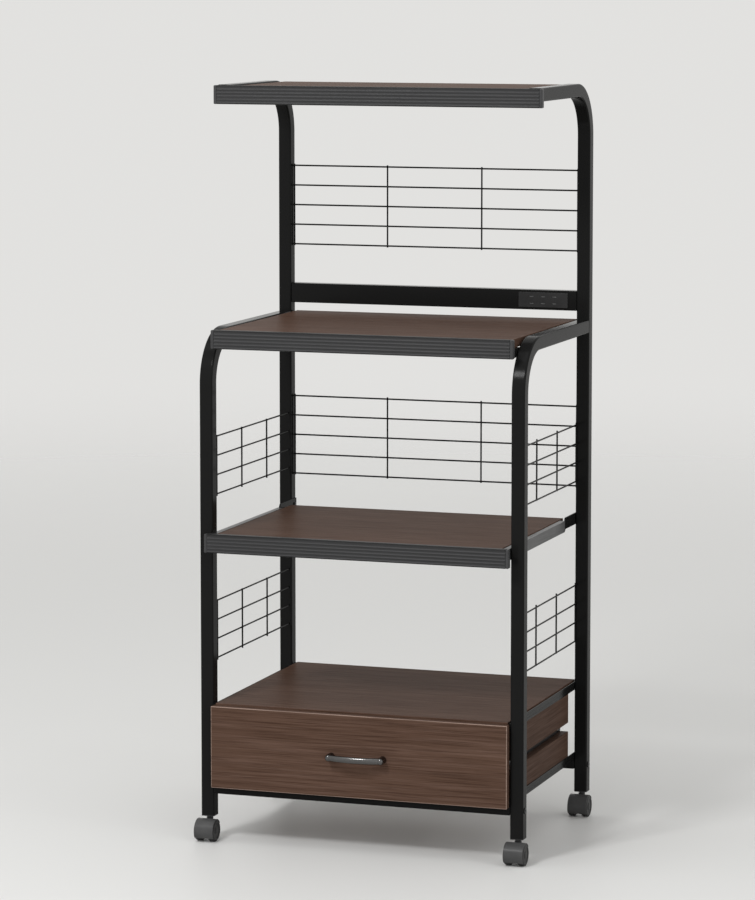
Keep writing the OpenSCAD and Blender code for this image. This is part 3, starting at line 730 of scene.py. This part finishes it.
class CART_OT_casters(bpy.types.Operator):
    """Twin-wheel casters"""
    bl_idname = "cart.casters"
    bl_label = "Casters"

    def execute(self, context):
        for tag in CASTERS:
            low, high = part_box("caster_axle_" + tag)
            axle = (low + high) / 2
            self.hood(tag, axle)
            self.wheels(tag, axle)
            for node in ("caster_stem_", "caster_axle_"):
                dress(node + tag, MATERIALS["steel"])
        return {"FINISHED"}

    def hood(self, tag, axle):
        """Hood over both wheels, with the web between them and the stem's boss."""
        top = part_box("caster_housing_" + tag)[1].z
        stem_low, stem_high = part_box("caster_stem_" + tag)
        bm = bmesh.new()
        for section in (HOOD, WEB):
            face = outline(bm, [axle + Vector((x, r, 0)) * MM for x, r in section])
            bmesh.ops.rotate(bm, cent=axle, matrix=Matrix.Rotation(HOOD_START, 3, "X"), verts=face.verts[:])
            sweep(bm, face, axle, (1, 0, 0), math.pi, 36)
        hub_half = Vector((HUB_HALF, 0, 0))
        rod(bm, axle - hub_half, axle + hub_half, HUB, 32)
        stem = (stem_low + stem_high) / 2
        rod(bm, (stem.x, stem.y, axle.z + HUB), (stem.x, stem.y, top), BOSS, 32)
        finish("caster_hood_" + tag, bm, [MATERIALS["caster"]], "caster_" + tag, "caster_plastic",
               "caster_housing_" + tag)

    def wheels(self, tag, axle):
        """Pair of dished wheels with rounded treads."""
        bm = bmesh.new()
        for side in (1, -1):
            profile = [axle + Vector((side * x, 0, r)) * MM for r, x in WHEEL]
            turned(bm, profile, axle, (1, 0, 0))
        bmesh.ops.remove_doubles(bm, verts=bm.verts[:], dist=1e-6)
        finish("caster_rollers_" + tag, bm, [MATERIALS["wheel"]], "wheels_" + tag, "wheel_plastic",
               "caster_wheels_" + tag)


class CART_OT_stage(bpy.types.Operator):
    """Pale floor, soft light and camera"""
    bl_idname = "cart.stage"
    bl_label = "Stage"

    def execute(self, context):
        stage = context.scene.cart_stage
        self.floor(stage)
        self.surround(context.scene, stage)
        self.lamps()
        self.camera(context.scene, stage)
        context.scene.view_settings.view_transform = "Standard"
        return {"FINISHED"}

    def floor(self, stage):
        """Round floor that fades into the surround."""
        bm = bmesh.new()
        bmesh.ops.create_circle(bm, cap_ends=True, segments=64, radius=FLOOR)
        mesh = bpy.data.meshes.new("floor")
        bm.to_mesh(mesh)
        bm.free()
        material, surface = shader("floor", stage.floor, 0.5, specular=0.3)
        nodes, links = material.node_tree.nodes, material.node_tree.links
        place = nodes.new("ShaderNodeTexCoord")
        distance = nodes.new("ShaderNodeVectorMath")
        distance.operation = "LENGTH"
        fade = nodes.new("ShaderNodeMapRange")
        fade.interpolation_type = "SMOOTHSTEP"
        fade.inputs["From Min"].default_value = FADE[0]
        fade.inputs["From Max"].default_value = FADE[1]
        fade.inputs["To Min"].default_value = 1.0
        fade.inputs["To Max"].default_value = 0.0
        links.new(place.outputs["Object"], distance.inputs[0])
        links.new(distance.outputs["Value"], fade.inputs["Value"])
        links.new(fade.outputs["Result"], surface.inputs["Alpha"])
        mesh.materials.append(material)
        floor = bpy.data.objects.new("floor", mesh)
        bpy.context.scene.collection.objects.link(floor)

    def surround(self, scene, stage):
        """World that is brighter in front of the cart than behind it."""
        world = bpy.data.worlds.new("surround")
        world.use_nodes = True
        scene.world = world
        nodes, links = world.node_tree.nodes, world.node_tree.links
        place = nodes.new("ShaderNodeTexCoord")
        split = nodes.new("ShaderNodeSeparateXYZ")
        turn = nodes.new("ShaderNodeMapRange")
        turn.interpolation_type = "SMOOTHSTEP"
        turn.inputs["From Min"].default_value = -0.9
        turn.inputs["From Max"].default_value = 0.6
        mix = nodes.new("ShaderNodeMix")
        mix.data_type = "RGBA"
        mix.inputs[6].default_value = (*stage.sky_front, 1.0)
        mix.inputs[7].default_value = (*stage.sky_back, 1.0)
        links.new(place.outputs["Generated"], split.inputs["Vector"])
        links.new(split.outputs["Y"], turn.inputs["Value"])
        links.new(turn.outputs["Result"], mix.inputs[0])
        links.new(mix.outputs[2], nodes["Background"].inputs["Color"])

    def lamps(self):
        """Three large soft lamps."""
        aim = Vector(AIM)
        for name, place, size, power in LAMPS:
            lamp = bpy.data.lights.new(name, "AREA")
            lamp.shape = "SQUARE"
            lamp.size = size
            lamp.energy = power
            holder = bpy.data.objects.new(name, lamp)
            holder.location = place
            holder.rotation_euler = (aim - Vector(place)).to_track_quat("-Z", "Y").to_euler()
            bpy.context.scene.collection.objects.link(holder)

    def camera(self, scene, stage):
        """Long lens, slightly above the top shelf."""
        data = bpy.data.cameras.new("camera")
        data.sensor_width = 36.0
        data.lens = stage.lens
        data.shift_y = stage.shift
        data.clip_end = 200.0
        holder = bpy.data.objects.new("camera", data)
        holder.location = stage.camera_place
        holder.rotation_euler = (math.pi / 2 - stage.camera_dip, 0, stage.camera_yaw)
        scene.collection.objects.link(holder)
        scene.camera = holder


OPERATORS = (
    CART_OT_stage, CART_OT_posts, CART_OT_boards, CART_OT_profiles, CART_OT_guards, CART_OT_outlet,
    CART_OT_drawer, CART_OT_slides, CART_OT_casters,
)


class CART_PT_panel(bpy.types.Panel):
    """Cart builder"""
    bl_idname = "CART_PT_panel"
    bl_label = "Kitchen cart"
    bl_space_type = "VIEW_3D"
    bl_region_type = "UI"
    bl_category = "Cart"

    def draw(self, context):
        scene = context.scene
        for group in (scene.cart_finishes, scene.cart_sizes, scene.cart_stage):
            for name in group.__annotations__:
                self.layout.prop(group, name)
        for operator in OPERATORS:
            self.layout.operator(operator.bl_idname)


CLASSES = (CartFinishes, CartSizes, CartStage, *OPERATORS, CART_PT_panel)


def register():
    for item in CLASSES:
        bpy.utils.register_class(item)
    bpy.types.Scene.cart_finishes = PointerProperty(type=CartFinishes)
    bpy.types.Scene.cart_sizes = PointerProperty(type=CartSizes)
    bpy.types.Scene.cart_stage = PointerProperty(type=CartStage)


def unregister():
    del bpy.types.Scene.cart_stage
    del bpy.types.Scene.cart_sizes
    del bpy.types.Scene.cart_finishes
    for item in reversed(CLASSES):
        bpy.utils.unregister_class(item)


def main():
    register()
    MATERIALS.update(make_materials(bpy.context.scene.cart_finishes))
    bpy.ops.cart.stage()
    bpy.ops.cart.posts()
    bpy.ops.cart.boards()
    bpy.ops.cart.profiles()
    bpy.ops.cart.guards()
    bpy.ops.cart.outlet()
    bpy.ops.cart.drawer()
    bpy.ops.cart.slides()
    bpy.ops.cart.casters()


if __name__ == "__main__":
    main()
